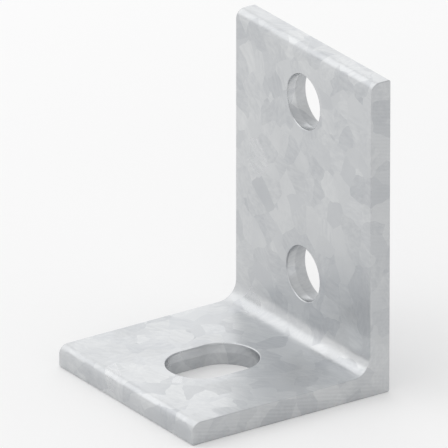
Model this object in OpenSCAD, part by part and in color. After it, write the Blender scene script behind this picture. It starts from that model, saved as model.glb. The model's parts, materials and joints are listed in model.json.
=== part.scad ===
// Angle bracket cut from rolled steel angle: a tall upright leg with two round
// holes and a shorter base leg with one slotted hole.
// Millimetres. The origin is the middle of the heel, the sharp outer corner.
// X runs along the heel, the base leg runs towards -Y and the upright leg towards +Z.

/* [Rolled section] */
// Height of the upright leg, from the underside of the base leg to its top
upright_leg = 85; // [66:1:160]
// Length of the base leg, from the back of the upright leg to its end
base_leg = 60; // [52:1:140]
// Thickness of both legs
thickness = 6; // [4:0.5:10]
// Radius of the hollow corner between the legs
root_radius = 5; // [1:0.5:9]
// Radius of the rounded inner edge at the end of each leg
toe_radius = 2.5; // [0.5:0.25:3.5]

/* [Cut length] */
// Width of the bracket, which is the length cut from the bar
width = 60; // [40:1:150]

/* [Holes in the upright leg] */
// Diameter of the two round holes
hole_diameter = 14.5; // [6:0.5:20]
// Height of the lower hole's centre above the underside
lower_hole_height = 23; // [21:0.5:34]
// Distance from the upper hole's centre to the top of the leg
upper_hole_margin = 15; // [12:0.5:24]

/* [Slot in the base leg] */
// Width of the slot, across the bracket's width
slot_width = 18; // [8:0.5:24]
// Length of the slot from end to end, along the leg
slot_length = 25; // [19:0.5:34]
// Metal left between the slot and the end of the leg
slot_margin = 14; // [6:0.5:20]

/* [Edges] */
// Width of the broken edge around the holes and the slot
edge_break = 0.4; // [0.1:0.1:1]

/* [Hidden] */
$fn = 96;
// How far each cutter reaches past the faces it opens
overrun = 1;
upper_hole_height = upright_leg - upper_hole_margin;
slot_centre = base_leg - slot_margin - slot_length / 2;

// One flat leg of the section: outer side on the x axis, heel at the origin,
// and the inner edge of its far end rounded
module leg_section(length) {
    difference() {
        square([length, thickness]);
        translate([length - toe_radius, thickness - toe_radius])
            difference() {
                square(toe_radius + overrun);
                circle(toe_radius);
            }
    }
}

// The block at the heel that joins the legs, hollowed by the root radius
module root_section() {
    block = thickness + root_radius;
    difference() {
        square(block);
        translate([block, block])
            circle(root_radius);
    }
}

// The rolled section, with the base leg to the left and the upright leg up
module angle_section() {
    mirror([1, 0])
        leg_section(base_leg);
    rotate(90)
        leg_section(upright_leg);
    mirror([1, 0])
        root_section();
}

// Half of the section through an opening, from its middle out to its wall,
// flared at both mouths by the broken edge
module opening_section(radius) {
    mouth = radius + edge_break + overrun;
    polygon([
        [0, -overrun],
        [mouth, -overrun],
        [radius, edge_break],
        [radius, thickness - edge_break],
        [mouth, thickness + overrun],
        [0, thickness + overrun]
    ]);
}

module round_cutter(diameter) {
    rotate_extrude()
        opening_section(diameter / 2);
}

// A slot along y: two round ends and the straight stretch between them
module slot_cutter(slot_w, slot_l) {
    straight = slot_l - slot_w;
    for (end = [-1, 1])
        translate([0, end * straight / 2, 0])
            round_cutter(slot_w);
    rotate([90, 0, 0])
        linear_extrude(straight, center = true)
            for (side = [0, 1])
                mirror([side, 0])
                    opening_section(slot_w / 2);
}

module bracket() {
    color("silver")
        difference() {
            rotate([90, 0, 90])
                linear_extrude(width, center = true)
                    angle_section();
            for (height = [lower_hole_height, upper_hole_height])
                translate([0, 0, height])
                    rotate([90, 0, 0])
                        round_cutter(hole_diameter);
            translate([0, -slot_centre, 0])
                slot_cutter(slot_width, slot_length);
        }
}

bracket();
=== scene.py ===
import json
import math

import bpy
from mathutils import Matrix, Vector


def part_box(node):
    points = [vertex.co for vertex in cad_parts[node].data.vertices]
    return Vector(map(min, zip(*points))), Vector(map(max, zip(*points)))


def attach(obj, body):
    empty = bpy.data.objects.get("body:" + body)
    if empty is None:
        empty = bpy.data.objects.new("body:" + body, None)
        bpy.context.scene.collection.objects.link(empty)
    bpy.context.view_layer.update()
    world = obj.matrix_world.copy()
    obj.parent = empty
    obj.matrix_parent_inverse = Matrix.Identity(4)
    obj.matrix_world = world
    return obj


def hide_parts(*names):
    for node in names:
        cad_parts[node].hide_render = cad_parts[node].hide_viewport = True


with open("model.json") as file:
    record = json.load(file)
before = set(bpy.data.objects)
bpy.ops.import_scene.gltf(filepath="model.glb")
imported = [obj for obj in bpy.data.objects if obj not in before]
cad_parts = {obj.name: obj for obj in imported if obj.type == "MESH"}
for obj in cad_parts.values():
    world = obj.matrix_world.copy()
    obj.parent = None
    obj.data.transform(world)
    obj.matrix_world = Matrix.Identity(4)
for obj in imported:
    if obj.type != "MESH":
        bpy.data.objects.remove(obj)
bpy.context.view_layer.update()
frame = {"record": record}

# Sizes and places, from the frame
MOUNTS = {mount["name"]: mount for mount in frame["record"]["mounts"]}
LOW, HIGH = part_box("bracket")
MIDDLE = (LOW + HIGH) / 2
WIDTH = HIGH.x - LOW.x
BASE_LEG = HIGH.y - LOW.y
UPRIGHT_LEG = HIGH.z - LOW.z
THICKNESS = -2 * MOUNTS["lower_hole"]["pos_m"][1]
HOLE_RADIUS = MOUNTS["lower_hole"]["dims"]["r_mm"] / 1000
LOWER_HOLE_HEIGHT = MOUNTS["lower_hole"]["pos_m"][2]
UPPER_HOLE_HEIGHT = MOUNTS["upper_hole"]["pos_m"][2]
SLOT_RADIUS = MOUNTS["base_slot"]["dims"]["hole_r_mm"] / 1000
SLOT_RUN = MOUNTS["base_slot"]["dims"]["slot_length_mm"] / 1000 - 2 * SLOT_RADIUS
SLOT_PLACE = MOUNTS["base_slot"]["pos_m"][1]

# Radii of the rolled section: between the legs, at their inner edges' ends, at the heel, and at
# their outer edges' ends
ROOT_RADIUS = 0.005
TOE_RADIUS = 0.0025
HEEL_RADIUS = 0.0007
LEG_END_RADIUS = 0.0006
# Rounding of the sawn ends' edges, kept smaller than every radius of the section
SAWN_EDGE = 0.0004
# The wall that a punch leaves: a drawn-in mouth, a smooth band, a small step outwards, and a
# torn rest that flares to a crisp edge where the punch came out
MOUTH_RADIUS = 0.0004
SMOOTH_DEPTH = 0.0026
TORN_STEP = 0.00008
TORN_FLARE = 0.00025
EXIT_EDGE = 0.00015
# How far a punch reaches past the faces it opens, and how high above one its mouth's arc starts
PAST = 0.001
SKIM = 0.000015
# Straight steps in each corner of the section, across a sawn end's rounded edge, in a punch's
# mouth and all round its path
CORNER_STEPS = 12
SAWN_EDGE_STEPS = 3
MOUTH_STEPS = 8
PATH_STEPS = 96
# Points of a punch's surface that are nearer than this are one point
MERGE = 0.000002
# Of the bar's edges, those that turn by more than the first angle are a sawn end's and get
# rounded. Of the bracket's, those that turn by more than the second look sharp
SAWN_EDGE_ANGLE = math.radians(60)
SHARP_ANGLE = math.radians(35)

# The tone of the zinc goes from grey to pale with the sum of three parts, each from 0 to its
# share: a crystal's own tone, its feathering, and broad clouds
GREY_ZINC = (0.49, 0.505, 0.525)
PALE_ZINC = (0.68, 0.69, 0.695)
CRYSTAL_SHARE = 0.32
FEATHER_SHARE = 0.2
CLOUD_SHARE = 0.5
GREY_AT = 0.185
PALE_AT = 0.835
# What the zinc on a sawn end keeps of that tone: partly duller zinc on sawn steel, partly a painted
# shade that makes the sawn ends darker than the faces beside them
SAWN_DULLING_AND_PAINTED_SHADE = 0.93
# Roughness of the brightest and of the dullest crystals on each kind of surface
ROLLED_ROUGHNESS = (0.27, 0.42)
SAWN_ROUGHNESS = (0.34, 0.45)
SMOOTH_WALL_ROUGHNESS = (0.24, 0.34)
TORN_WALL_ROUGHNESS = (0.48, 0.60)
# Widths of the zinc's clouds, its crystals and their feathering's streaks, the distance between
# bends in the crystals' borders and how far these wander, and how much a crystal's face may lean
CLOUD = 0.017
CRYSTAL = 0.006
FEATHER = 0.001
BORDER_BEND = 0.005
BORDER_WANDER = 0.003
CRYSTAL_LEAN = 0.05
# The feathering's noise where it is darkest and palest, and how straight into the surface its
# streaks may point (1 is straight) before they fade, and until they are gone
FEATHER_DARK = 0.35
FEATHER_PALE = 0.65
FEATHER_FADING = 0.6
FEATHER_GONE = 0.9
# The grain under the zinc: the width and the height of what makes it
DRAW_LINE = 0.002
DRAW_LINE_HEIGHT = 0.000012
WAVE = 0.011
WAVE_HEIGHT = 0.00006
PIT = 0.0008
PIT_HEIGHT = 0.000014
SAW_LINE = 0.001
SAW_LINE_HEIGHT = 0.00002
SAW_SLANT = math.radians(12)
PUNCH_STREAK = 0.0011
PUNCH_STREAK_HEIGHT = 0.00002
TORN_LUMP = 0.0009
TORN_LUMP_HEIGHT = 0.00012
# Scales of the axes for a grain that is drawn out along one of them
EVEN = (1.0, 1.0, 1.0)
DRAWN_ALONG_X = (0.03, 1.0, 1.0)
PUNCHED_ALONG_Y = (1.0, 0.05, 1.0)
PUNCHED_ALONG_Z = (1.0, 1.0, 0.05)
FEATHERED_ALONG_X = (0.2, 1.0, 1.0)

WHITE = (1.0, 1.0, 1.0, 1.0)
# The sky is white up to one height of a ray's direction and dims to its overhead level at another
SKY_WHITE_TO = 0.1
SKY_DIM_FROM = 0.45
OVERHEAD_LIGHT = 0.75
# The floor: half its width, its paper, and what brings it up to white to the eye
FLOOR_REACH = 4.0
PAPER = (0.8, 0.8, 0.8, 1.0)
FLOOR_LIFT = 0.15
# The distances from the object between which the floor fades to plain white
FADE_FROM = 0.12
FADE_TO = 0.5
# The lamps: the place of each, the width of its square and its watts
KEY_LAMP = {"place": (-0.65, -0.45, 1.15), "size": 1.8, "power": 6.6}
BACK_LAMP = {"place": (-0.95, 0.65, 0.55), "size": 0.8, "power": 1.0}
# The camera: degrees round from the front and above the horizon, distance from the middle, its
# lens and sensor in millimetres, and the distances between which it sees
VIEW_AZIMUTH = 55.685
VIEW_ELEVATION = 23.27
VIEW_DISTANCE = 4.681
LENS = 1500.0
SENSOR = 36.0
SEES_FROM = 0.5
SEES_TO = 20.0


# Building trees of nodes

def node(tree, kind, inputs=None, **settings):
    """Adds a node, sets its properties, and links or fills the inputs given by name or number."""
    made = tree.nodes.new(kind)
    for name, value in settings.items():
        setattr(made, name, value)
    for name, value in (inputs or {}).items():
        socket = made.inputs[name]
        if isinstance(value, bpy.types.NodeSocket):
            tree.links.new(value, socket)
        else:
            socket.default_value = value
    return made


def math_node(tree, operation, *values):
    """A sum, product or other function of numbers."""
    return node(tree, "ShaderNodeMath", dict(enumerate(values)), operation=operation).outputs[0]


def vector_node(tree, operation, *values):
    """A sum, product or other function of vectors that gives a vector."""
    return node(tree, "ShaderNodeVectorMath", dict(enumerate(values)), operation=operation).outputs[0]


def vector_of(tree, x=0.0, y=0.0, z=0.0):
    """Three numbers as one vector."""
    return node(tree, "ShaderNodeCombineXYZ", {"X": x, "Y": y, "Z": z}).outputs[0]


def parts_of(tree, vector):
    """The three numbers of a vector, by the names X, Y and Z."""
    return node(tree, "ShaderNodeSeparateXYZ", {"Vector": vector}).outputs


def geometry_tree(name, inputs):
    """A tree with these inputs, each name with its type. Returns it, its inputs and its output."""
    tree = bpy.data.node_groups.new(name, "GeometryNodeTree")
    tree.interface.new_socket("Geometry", in_out="OUTPUT", socket_type="NodeSocketGeometry")
    for title, kind in inputs.items():
        tree.interface.new_socket(title, in_out="INPUT", socket_type="NodeSocket" + kind)
    given = node(tree, "NodeGroupInput").outputs
    return tree, given, node(tree, "NodeGroupOutput")


def add_tree(piece, tree, values):
    """Puts a geometry tree on a piece, with its inputs set by their sockets' identifiers."""
    modifier = piece.modifiers.new(tree.name, "NODES")
    modifier.node_group = tree
    for item in tree.interface.items_tree:
        if item.in_out == "INPUT" and item.name in values:
            modifier[item.identifier] = values[item.name]


def by_index(tree, values, data_type):
    """A field that gives the first point the first value, the second the second, and so on."""
    switch = node(tree, "GeometryNodeIndexSwitch", data_type=data_type)
    while len(switch.index_switch_items) < len(values):
        switch.index_switch_items.new()
    tree.links.new(node(tree, "GeometryNodeInputIndex").outputs[0], switch.inputs[0])
    for number, value in enumerate(values, start=1):
        if isinstance(value, bpy.types.NodeSocket):
            tree.links.new(value, switch.inputs[number])
        else:
            switch.inputs[number].default_value = value
    return switch.outputs[0]


def curve_through(tree, count, position, closed):
    """A curve of straight steps through as many points, whose places are a field."""
    points = node(tree, "GeometryNodePoints", {"Count": count, "Position": position})
    curve = node(tree, "GeometryNodePointsToCurves", {"Points": points.outputs[0]})
    cyclic = node(tree, "GeometryNodeSetSplineCyclic", {"Geometry": curve.outputs[0], "Cyclic": closed})
    return cyclic.outputs[0]


def rounded_outline(tree, corners, radii, closed, steps):
    """A curve through corners (x, y), each rounded to its radius."""
    places = by_index(tree, [vector_of(tree, x, y) for x, y in corners], "VECTOR")
    curve = curve_through(tree, len(corners), places, closed)
    return node(tree, "GeometryNodeFilletCurve", {
        "Curve": curve,
        "Count": steps,
        "Radius": by_index(tree, radii, "FLOAT"),
        "Limit Radius": True,
    }, mode="POLY").outputs[0]


# Shapes

def rolled_bar_tree():
    """The rolled section, swept along the heel for the bracket's width."""
    tree, given, result = geometry_tree("rolled bar", {
        "Width": "Float",
        "Base leg": "Float",
        "Upright leg": "Float",
        "Thickness": "Float",
        "Root radius": "Float",
        "Toe radius": "Float",
        "Heel radius": "Float",
        "Leg end radius": "Float",
        "Finish": "Material",
    })
    # Swept along +X, a profile's x points to -Y and its y to -Z
    up = math_node(tree, "MULTIPLY", given["Upright leg"], -1.0)
    inner = math_node(tree, "MULTIPLY", given["Thickness"], -1.0)
    corners = [
        (0.0, 0.0),
        (given["Base leg"], 0.0),
        (given["Base leg"], inner),
        (given["Thickness"], inner),
        (given["Thickness"], up),
        (0.0, up),
    ]
    radii = [
        given["Heel radius"],
        given["Leg end radius"],
        given["Toe radius"],
        given["Root radius"],
        given["Toe radius"],
        given["Leg end radius"],
    ]
    section = rounded_outline(tree, corners, radii, closed=True, steps=CORNER_STEPS)
    heel = node(tree, "GeometryNodeCurvePrimitiveLine", {
        "Start": vector_of(tree, math_node(tree, "MULTIPLY", given["Width"], -0.5)),
        "End": vector_of(tree, math_node(tree, "MULTIPLY", given["Width"], 0.5)),
    })
    bar = node(tree, "GeometryNodeCurveToMesh", {
        "Curve": heel.outputs[0],
        "Profile Curve": section,
        "Fill Caps": True,
    })
    real = node(tree, "GeometryNodeRealizeInstances", {"Geometry": bar.outputs[0]})
    rolled = node(tree, "GeometryNodeSetMaterial", {
        "Geometry": real.outputs[0],
        "Material": given["Finish"],
    })
    tree.links.new(rolled.outputs[0], result.inputs[0])
    return tree


def opening_path(tree, radius, run):
    """The closed outline of a round or slotted opening: two half circles, run apart along y."""
    index = node(tree, "GeometryNodeInputIndex").outputs[0]
    # Half a step on, so that no point lies between the half circles
    angle = math_node(tree, "MULTIPLY", math_node(tree, "ADD", index, 0.5), math.tau / PATH_STEPS)
    cosine = math_node(tree, "COSINE", angle)
    sine = math_node(tree, "SINE", angle)
    half_run = math_node(tree, "MULTIPLY", run, 0.5)
    apart = math_node(tree, "MULTIPLY", math_node(tree, "SIGN", sine), half_run)
    x = math_node(tree, "MULTIPLY", cosine, radius)
    y = math_node(tree, "MULTIPLY_ADD", sine, radius, apart)
    return curve_through(tree, PATH_STEPS, vector_of(tree, x, y), closed=True)


def punched_wall(tree, given):
    """The outline of a punched wall: how far out from its smooth band, and how deep below the mouth."""
    middle = math_node(tree, "MULTIPLY", given["Radius"], -1.0)
    mouth = math_node(tree, "ADD", given["Mouth radius"], PAST)
    # The small step outwards is twice as deep as it is wide
    torn_depth = math_node(tree, "MULTIPLY_ADD", given["Torn step"], 2.0, given["Smooth depth"])
    exit_depth = math_node(tree, "SUBTRACT", given["Thickness"], given["Exit edge"])
    exit_out = math_node(tree, "ADD", given["Torn flare"], given["Exit edge"])
    out_past = math_node(tree, "ADD", exit_out, PAST)
    below = math_node(tree, "ADD", given["Thickness"], PAST)
    corners = [
        (middle, -PAST),
        (mouth, -PAST),
        (mouth, -SKIM),
        (0.0, -SKIM),
        (0.0, given["Smooth depth"]),
        (given["Torn step"], torn_depth),
        (given["Torn flare"], exit_depth),
        (out_past, below),
        (middle, below),
    ]
    radii = [0.0, 0.0, 0.0, given["Mouth radius"], 0.0, 0.0, 0.0, 0.0, 0.0]
    return rounded_outline(tree, corners, radii, closed=False, steps=MOUTH_STEPS)


# The inputs that are the same for every punch, with their types
WALL_INPUTS = {
    "Thickness": "Float",
    "Mouth radius": "Float",
    "Smooth depth": "Float",
    "Torn step": "Float",
    "Torn flare": "Float",
    "Exit edge": "Float",
    "Torn wall": "Material",
}


def punch_tree():
    """What a punch takes out, its mouth at z = 0 and its slot along y, turned and put in its place."""
    tree, given, result = geometry_tree("punch", {
        "Radius": "Float",
        "Run": "Float",
        "Place": "Vector",
        "Turn": "Rotation",
        "Smooth wall": "Material",
        **WALL_INPUTS,
    })
    swept = node(tree, "GeometryNodeCurveToMesh", {
        "Curve": opening_path(tree, given["Radius"], given["Run"]),
        "Profile Curve": punched_wall(tree, given),
    })
    whole = node(tree, "GeometryNodeMergeByDistance", {"Geometry": swept.outputs[0], "Distance": MERGE})
    smooth = node(tree, "GeometryNodeSetMaterial", {
        "Geometry": whole.outputs[0],
        "Material": given["Smooth wall"],
    })
    place = node(tree, "GeometryNodeInputPosition").outputs[0]
    depth = math_node(tree, "MULTIPLY", parts_of(tree, place)["Z"], -1.0)
    torn = node(tree, "GeometryNodeSetMaterial", {
        "Geometry": smooth.outputs[0],
        "Selection": math_node(tree, "GREATER_THAN", depth, given["Smooth depth"]),
        "Material": given["Torn wall"],
    })
    placed = node(tree, "GeometryNodeTransform", {
        "Geometry": torn.outputs[0],
        "Translation": given["Place"],
        "Rotation": given["Turn"],
    })
    tree.links.new(placed.outputs[0], result.inputs[0])
    return tree


def punches(tree, given):
    """What the punches take out: two holes through the upright leg and a slot through the base leg."""
    punch = punch_tree()
    shared = {name: given[name] for name in WALL_INPUTS}
    inner_face = math_node(tree, "MULTIPLY", given["Thickness"], -1.0)
    # With half a step's turn, the upper hole has no points in line with the lower one's
    half_step = math.pi / PATH_STEPS
    taken = []
    for height, turn in ((given["Lower hole height"], 0.0), (given["Upper hole height"], half_step)):
        taken.append(node(tree, "GeometryNodeGroup", {
            "Radius": given["Hole radius"],
            "Run": 0.0,
            "Place": vector_of(tree, 0.0, inner_face, height),
            "Turn": (math.pi / 2, turn, 0.0),
            "Smooth wall": given["Smooth hole wall"],
            **shared,
        }, node_tree=punch).outputs[0])
    taken.append(node(tree, "GeometryNodeGroup", {
        "Radius": given["Slot radius"],
        "Run": given["Slot run"],
        "Place": vector_of(tree, 0.0, given["Slot place"], given["Thickness"]),
        "Smooth wall": given["Smooth slot wall"],
        **shared,
    }, node_tree=punch).outputs[0])
    return taken


def punched_bar_tree():
    """Cuts the openings from the bar, and gives its sawn ends their finish."""
    tree, given, result = geometry_tree("punched bar", {
        "Geometry": "Geometry",
        "Width": "Float",
        "Sawn edge": "Float",
        "Hole radius": "Float",
        "Lower hole height": "Float",
        "Upper hole height": "Float",
        "Slot radius": "Float",
        "Slot run": "Float",
        "Slot place": "Float",
        "Smooth hole wall": "Material",
        "Smooth slot wall": "Material",
        "Sawn end": "Material",
        **WALL_INPUTS,
    })
    cut = node(tree, "GeometryNodeMeshBoolean", {"Mesh 1": given["Geometry"]},
               operation="DIFFERENCE", solver="EXACT")
    for taken in punches(tree, given):
        tree.links.new(taken, cut.inputs["Mesh 2"])
    smooth = node(tree, "GeometryNodeSetShadeSmooth", {"Geometry": cut.outputs[0]})
    real = node(tree, "GeometryNodeRealizeInstances", {"Geometry": smooth.outputs[0]})
    # The ends reach from the width's limits to halfway round their edges
    place = node(tree, "GeometryNodeInputPosition").outputs[0]
    across = math_node(tree, "ABSOLUTE", parts_of(tree, place)["X"])
    between_ends = math_node(tree, "SUBTRACT", given["Width"], given["Sawn edge"])
    limit = math_node(tree, "MULTIPLY", between_ends, 0.5)
    sawn = node(tree, "GeometryNodeSetMaterial", {
        "Geometry": real.outputs[0],
        "Selection": math_node(tree, "GREATER_THAN", across, limit),
        "Material": given["Sawn end"],
    })
    tree.links.new(sawn.outputs[0], result.inputs[0])
    return tree


def make_bracket(finishes):
    """The whole bracket as a plain mesh: rolled, its sawn edges dressed, and punched."""
    blank = bpy.data.objects.new("blank", bpy.data.meshes.new("blank"))
    bpy.context.collection.objects.link(blank)
    add_tree(blank, rolled_bar_tree(), {
        "Width": WIDTH,
        "Base leg": BASE_LEG,
        "Upright leg": UPRIGHT_LEG,
        "Thickness": THICKNESS,
        "Root radius": ROOT_RADIUS,
        "Toe radius": TOE_RADIUS,
        "Heel radius": HEEL_RADIUS,
        "Leg end radius": LEG_END_RADIUS,
        "Finish": finishes["rolled face"],
    })
    dressed = blank.modifiers.new("dressed edges", "BEVEL")
    dressed.width = SAWN_EDGE
    dressed.segments = SAWN_EDGE_STEPS
    dressed.limit_method = "ANGLE"
    dressed.angle_limit = SAWN_EDGE_ANGLE
    add_tree(blank, punched_bar_tree(), {
        "Width": WIDTH,
        "Thickness": THICKNESS,
        "Sawn edge": SAWN_EDGE,
        "Hole radius": HOLE_RADIUS,
        "Lower hole height": LOWER_HOLE_HEIGHT,
        "Upper hole height": UPPER_HOLE_HEIGHT,
        "Slot radius": SLOT_RADIUS,
        "Slot run": SLOT_RUN,
        "Slot place": SLOT_PLACE,
        "Mouth radius": MOUTH_RADIUS,
        "Smooth depth": SMOOTH_DEPTH,
        "Torn step": TORN_STEP,
        "Torn flare": TORN_FLARE,
        "Exit edge": EXIT_EDGE,
        "Smooth hole wall": finishes["smooth hole wall"],
        "Smooth slot wall": finishes["smooth slot wall"],
        "Torn wall": finishes["torn wall"],
        "Sawn end": finishes["sawn end"],
    })
    evaluated = blank.evaluated_get(bpy.context.evaluated_depsgraph_get())
    mesh = bpy.data.meshes.new_from_object(evaluated)
    bpy.data.objects.remove(blank)
    mesh.name = "angle_bracket"
    mesh.set_sharp_from_angle(angle=SHARP_ANGLE)
    piece = bpy.data.objects.new("angle_bracket", mesh)
    bpy.context.collection.objects.link(piece)
    even = piece.modifiers.new("even shading", "WEIGHTED_NORMAL")
    even.keep_sharp = True
    return piece


# Finishes

def noise(tree, place, size, detail=2.0, roughness=0.5, stretch=EVEN):
    """Noise whose features have this size, drawn out by stretch: a value from 0 to 1, and a colour."""
    mapped = node(tree, "ShaderNodeMapping", {"Vector": place, "Scale": stretch})
    return node(tree, "ShaderNodeTexNoise", {
        "Vector": mapped.outputs[0],
        "Scale": 1 / size,
        "Detail": detail,
        "Roughness": roughness,
    }).outputs


def weighted_sum(tree, layers):
    """Adds up layers, each a field from 0 to 1 and its share, or its height in metres."""
    total = 0.0
    for field, weight in layers:
        total = math_node(tree, "MULTIPLY_ADD", field, weight, total)
    return total


def rolled_grain(tree, place):
    """Faint draw lines along the bar, a soft waviness, and fine pitting under the zinc."""
    lines = noise(tree, place, DRAW_LINE, stretch=DRAWN_ALONG_X)["Fac"]
    waves = noise(tree, place, WAVE, detail=1.0)["Fac"]
    pits = noise(tree, place, PIT, detail=3.0, roughness=0.6)["Fac"]
    return weighted_sum(tree, [(lines, DRAW_LINE_HEIGHT), (waves, WAVE_HEIGHT), (pits, PIT_HEIGHT)])


def sawn_grain(tree, place):
    """The saw's fine parallel lines, a little askew, over a faint roughness."""
    askew = node(tree, "ShaderNodeMapping", {"Vector": place, "Rotation": (SAW_SLANT, 0.0, 0.0)})
    # A wave texture has 20 radians to each unit of its scale
    lines = node(tree, "ShaderNodeTexWave", {
        "Vector": askew.outputs[0],
        "Scale": math.tau / 20 / SAW_LINE,
        "Distortion": 1.5,
        "Detail": 2.0,
        "Detail Scale": 0.4,
    }, wave_type="BANDS", bands_direction="Z").outputs["Fac"]
    pits = noise(tree, place, PIT, detail=3.0)["Fac"]
    return weighted_sum(tree, [(lines, SAW_LINE_HEIGHT), (pits, PIT_HEIGHT)])


def hole_wall_grain(tree, place):
    """Streaks that a punch draws through a hole's smooth band."""
    streaks = noise(tree, place, PUNCH_STREAK, stretch=PUNCHED_ALONG_Y)["Fac"]
    return math_node(tree, "MULTIPLY", streaks, PUNCH_STREAK_HEIGHT)


def slot_wall_grain(tree, place):
    """Streaks that a punch draws through the slot's smooth band."""
    streaks = noise(tree, place, PUNCH_STREAK, stretch=PUNCHED_ALONG_Z)["Fac"]
    return math_node(tree, "MULTIPLY", streaks, PUNCH_STREAK_HEIGHT)


def torn_wall_grain(tree, place):
    """The coarse, torn rest of a punched wall."""
    lumps = noise(tree, place, TORN_LUMP, detail=4.0, roughness=0.65)["Fac"]
    return math_node(tree, "MULTIPLY", lumps, TORN_LUMP_HEIGHT)


def centred(tree, numbers):
    """Moves three numbers between 0 and 1 to lie around 0."""
    return vector_node(tree, "SUBTRACT", numbers, (0.5, 0.5, 0.5))


def zinc_crystals(tree, place):
    """Crystals with wandering borders: three random numbers from 0 to 1 for each crystal."""
    wander = noise(tree, place, BORDER_BEND, detail=1.5, roughness=0.4)["Color"]
    moved = vector_node(tree, "MULTIPLY_ADD", centred(tree, wander), [BORDER_WANDER] * 3, place)
    return node(tree, "ShaderNodeTexVoronoi", {"Vector": moved, "Scale": 1 / CRYSTAL}).outputs["Color"]


def feathering(tree, place, crystal):
    """Fine streaks, turned another way in each crystal, and plain where they run into the surface."""
    turn = {
        "Axis": centred(tree, crystal),
        "Angle": math_node(tree, "MULTIPLY", parts_of(tree, crystal)["Z"], math.tau),
    }
    turned = node(tree, "ShaderNodeVectorRotate", {"Vector": place, **turn}).outputs[0]
    streaks = noise(tree, turned, FEATHER, detail=3.0, roughness=0.6, stretch=FEATHERED_ALONG_X)["Fac"]
    along = node(tree, "ShaderNodeVectorRotate", {"Vector": (1.0, 0.0, 0.0), **turn}, invert=True)
    inwards = node(tree, "ShaderNodeVectorMath", {
        0: along.outputs[0],
        1: node(tree, "ShaderNodeNewGeometry").outputs["Normal"],
    }, operation="DOT_PRODUCT").outputs["Value"]
    contrast = node(tree, "ShaderNodeMapRange", {
        "Value": math_node(tree, "ABSOLUTE", inwards),
        "From Min": FEATHER_FADING,
        "From Max": FEATHER_GONE,
        "To Min": 0.5,
        "To Max": 0.0,
    }).outputs[0]
    return node(tree, "ShaderNodeMapRange", {
        "Value": streaks,
        "From Min": FEATHER_DARK,
        "From Max": FEATHER_PALE,
        "To Min": math_node(tree, "SUBTRACT", 0.5, contrast),
        "To Max": math_node(tree, "ADD", 0.5, contrast),
    }).outputs[0]


def zinc_tone(tree, place, crystal, shade):
    """The colour of the zinc, from crystal to crystal and cloud to cloud, times the shade: on the sawn
    ends partly duller zinc and partly painted shade.
    """
    clouds = noise(tree, place, CLOUD, detail=4.0, roughness=0.6)["Fac"]
    tone = weighted_sum(tree, [
        (parts_of(tree, crystal)["X"], CRYSTAL_SHARE),
        (feathering(tree, place, crystal), FEATHER_SHARE),
        (clouds, CLOUD_SHARE),
    ])
    ramp = node(tree, "ShaderNodeValToRGB", {0: tone})
    grey, pale = ramp.color_ramp.elements
    grey.position = GREY_AT
    grey.color = [part * shade for part in GREY_ZINC] + [1.0]
    pale.position = PALE_AT
    pale.color = [part * shade for part in PALE_ZINC] + [1.0]
    return ramp.outputs[0]


def zinc(name, grain, roughness, shade=1.0):
    """Hot-dip zinc over this grain, its roughness from the brightest crystals' to the dullest's."""
    material = bpy.data.materials.new(name)
    material.use_nodes = True
    tree = material.node_tree
    shader = tree.nodes["Principled BSDF"].inputs
    place = node(tree, "ShaderNodeTexCoord").outputs["Object"]
    crystal = zinc_crystals(tree, place)
    tree.links.new(zinc_tone(tree, place, crystal, shade), shader["Base Color"])
    bright, dull = roughness
    rough = node(tree, "ShaderNodeMapRange", {
        "Value": parts_of(tree, crystal)["Y"],
        "To Min": bright,
        "To Max": dull,
    })
    tree.links.new(rough.outputs[0], shader["Roughness"])
    shader["Metallic"].default_value = 1.0
    relief = node(tree, "ShaderNodeBump", {"Height": grain(tree, place), "Distance": 1.0}).outputs[0]
    leaning = vector_node(tree, "MULTIPLY_ADD", centred(tree, crystal), [CRYSTAL_LEAN] * 3, relief)
    tree.links.new(vector_node(tree, "NORMALIZE", leaning), shader["Normal"])
    return material


def make_finishes():
    """The zinc on each kind of surface, by the surface's name."""
    return {
        "rolled face": zinc("zinc_on_rolled_face", rolled_grain, ROLLED_ROUGHNESS),
        # The sawn ends' zinc is darker: partly duller zinc on sawn steel, partly painted shade
        "sawn end": zinc("zinc_on_sawn_end", sawn_grain, SAWN_ROUGHNESS, shade=SAWN_DULLING_AND_PAINTED_SHADE),
        "smooth hole wall": zinc("zinc_on_hole_wall", hole_wall_grain, SMOOTH_WALL_ROUGHNESS),
        "smooth slot wall": zinc("zinc_on_slot_wall", slot_wall_grain, SMOOTH_WALL_ROUGHNESS),
        "torn wall": zinc("zinc_on_torn_wall", torn_wall_grain, TORN_WALL_ROUGHNESS),
    }


# Floor, light and camera

def seen_background(tree):
    """1 for rays that see the background, by eye, in a reflection or through glass, and else 0."""
    rays = node(tree, "ShaderNodeLightPath").outputs
    seen = math_node(tree, "MAXIMUM", rays["Is Camera Ray"], rays["Is Glossy Ray"])
    return math_node(tree, "MAXIMUM", seen, rays["Is Transmission Ray"])


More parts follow.
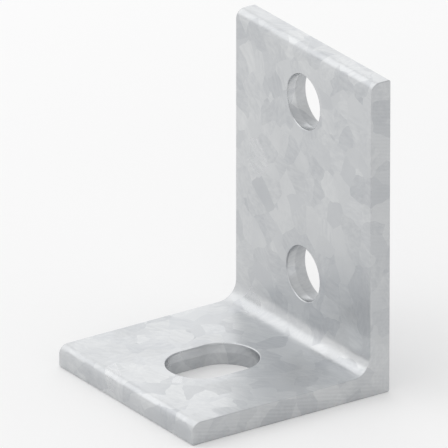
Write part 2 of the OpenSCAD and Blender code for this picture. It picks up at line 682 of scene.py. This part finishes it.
def floor_paper():
    """Pale paper that fades to white away from the object and keeps its shadow."""
    material = bpy.data.materials.new("pale_paper")
    material.use_nodes = True
    tree = material.node_tree
    tree.nodes.clear()
    place = node(tree, "ShaderNodeTexCoord").outputs["Object"]
    far = node(tree, "ShaderNodeVectorMath", {0: place}, operation="LENGTH").outputs["Value"]
    fade = node(tree, "ShaderNodeMapRange", {
        "Value": far,
        "From Min": FADE_FROM,
        "From Max": FADE_TO,
    }, interpolation_type="SMOOTHSTEP").outputs[0]
    seen = seen_background(tree)
    paper = node(tree, "ShaderNodeBsdfDiffuse", {"Color": PAPER})
    lift = node(tree, "ShaderNodeEmission", {"Strength": math_node(tree, "MULTIPLY", seen, FLOOR_LIFT)})
    near = node(tree, "ShaderNodeAddShader", {0: paper.outputs[0], 1: lift.outputs[0]})
    white = node(tree, "ShaderNodeEmission", {"Color": WHITE, "Strength": 1.0})
    mixed = node(tree, "ShaderNodeMixShader", {
        0: math_node(tree, "MULTIPLY", fade, seen),
        1: near.outputs[0],
        2: white.outputs[0],
    })
    node(tree, "ShaderNodeOutputMaterial", {"Surface": mixed.outputs[0]})
    return material


def make_floor():
    """A wide square of pale paper under the bracket."""
    corners = []
    for x, y in ((-1, -1), (1, -1), (1, 1), (-1, 1)):
        corners.append((x * FLOOR_REACH, y * FLOOR_REACH, 0.0))
    mesh = bpy.data.meshes.new("floor")
    mesh.from_pydata(corners, [], [(0, 1, 2, 3)])
    mesh.materials.append(floor_paper())
    floor = bpy.data.objects.new("floor", mesh)
    bpy.context.collection.objects.link(floor)


def make_world():
    """A sky that is white behind the object and dimmer overhead, as in a room with pale walls."""
    world = bpy.data.worlds.new("studio")
    bpy.context.scene.world = world
    world.use_nodes = True
    tree = world.node_tree
    tree.nodes.clear()
    direction = node(tree, "ShaderNodeTexCoord").outputs["Generated"]
    strength = node(tree, "ShaderNodeMapRange", {
        "Value": parts_of(tree, direction)["Z"],
        "From Min": SKY_WHITE_TO,
        "From Max": SKY_DIM_FROM,
        "To Min": 1.0,
        "To Max": OVERHEAD_LIGHT,
    }, interpolation_type="SMOOTHSTEP")
    sky = node(tree, "ShaderNodeBackground", {"Color": WHITE, "Strength": strength.outputs[0]})
    node(tree, "ShaderNodeOutputWorld", {"Surface": sky.outputs[0]})


def make_lamp(name, place, size, power):
    """A square soft box at place, turned to the bracket."""
    light = bpy.data.lights.new(name, "AREA")
    light.shape = "SQUARE"
    light.size = size
    light.energy = power
    lamp = bpy.data.objects.new(name, light)
    lamp.location = place
    lamp.rotation_mode = "QUATERNION"
    lamp.rotation_quaternion = (MIDDLE - Vector(place)).to_track_quat("-Z", "Y")
    bpy.context.collection.objects.link(lamp)


def make_camera():
    """A very long lens, so that parallel edges stay parallel, at the drawing's viewing angle."""
    azimuth, elevation = math.radians(VIEW_AZIMUTH), math.radians(VIEW_ELEVATION)
    back = Vector((
        math.sin(azimuth) * math.cos(elevation),
        -math.cos(azimuth) * math.cos(elevation),
        math.sin(elevation),
    ))
    data = bpy.data.cameras.new("camera")
    data.lens = LENS
    data.sensor_width = SENSOR
    data.clip_start = SEES_FROM
    data.clip_end = SEES_TO
    camera = bpy.data.objects.new("camera", data)
    camera.location = MIDDLE + back * VIEW_DISTANCE
    camera.rotation_mode = "QUATERNION"
    camera.rotation_quaternion = (-back).to_track_quat("-Z", "Y")
    bpy.context.collection.objects.link(camera)
    bpy.context.scene.camera = camera


# The piece

bracket = make_bracket(make_finishes())
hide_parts("bracket")
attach(bracket, "root")

# The studio

make_floor()
make_world()
make_lamp("key", **KEY_LAMP)
make_lamp("back", **BACK_LAMP)
make_camera()
bpy.context.scene.view_settings.view_transform = "Standard"
